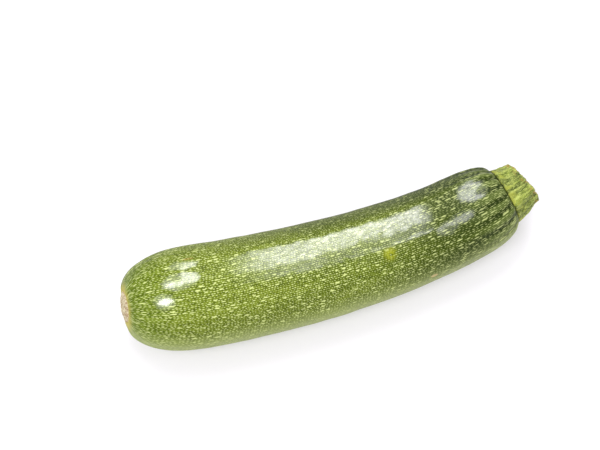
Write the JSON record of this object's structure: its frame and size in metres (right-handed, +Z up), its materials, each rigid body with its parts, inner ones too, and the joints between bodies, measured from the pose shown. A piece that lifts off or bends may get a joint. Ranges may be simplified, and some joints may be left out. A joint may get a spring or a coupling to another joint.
{
  "type": "courgette",
  "caption": "Whole green courgette lying on its side: a gently bent, faintly ribbed fruit with a corky blossom scar and the cut stub of its stem.",
  "frame": {"origin": "centre of the bounding box, on the surface that the courgette lies on", "axes": "+X from the blossom end to the stem, +Z up, the bend in the XY plane with its hollow side towards +Y"},
  "size_m": [0.2006, 0.0524, 0.048],
  "materials": {
    "skin": "waxy olive-green skin with dense pale flecks",
    "stem": "fibrous yellow-green stem"
  },
  "bodies": {
    "root": {"fruit": "skin", "stem": "stem"}
  },
  "joints": []
}
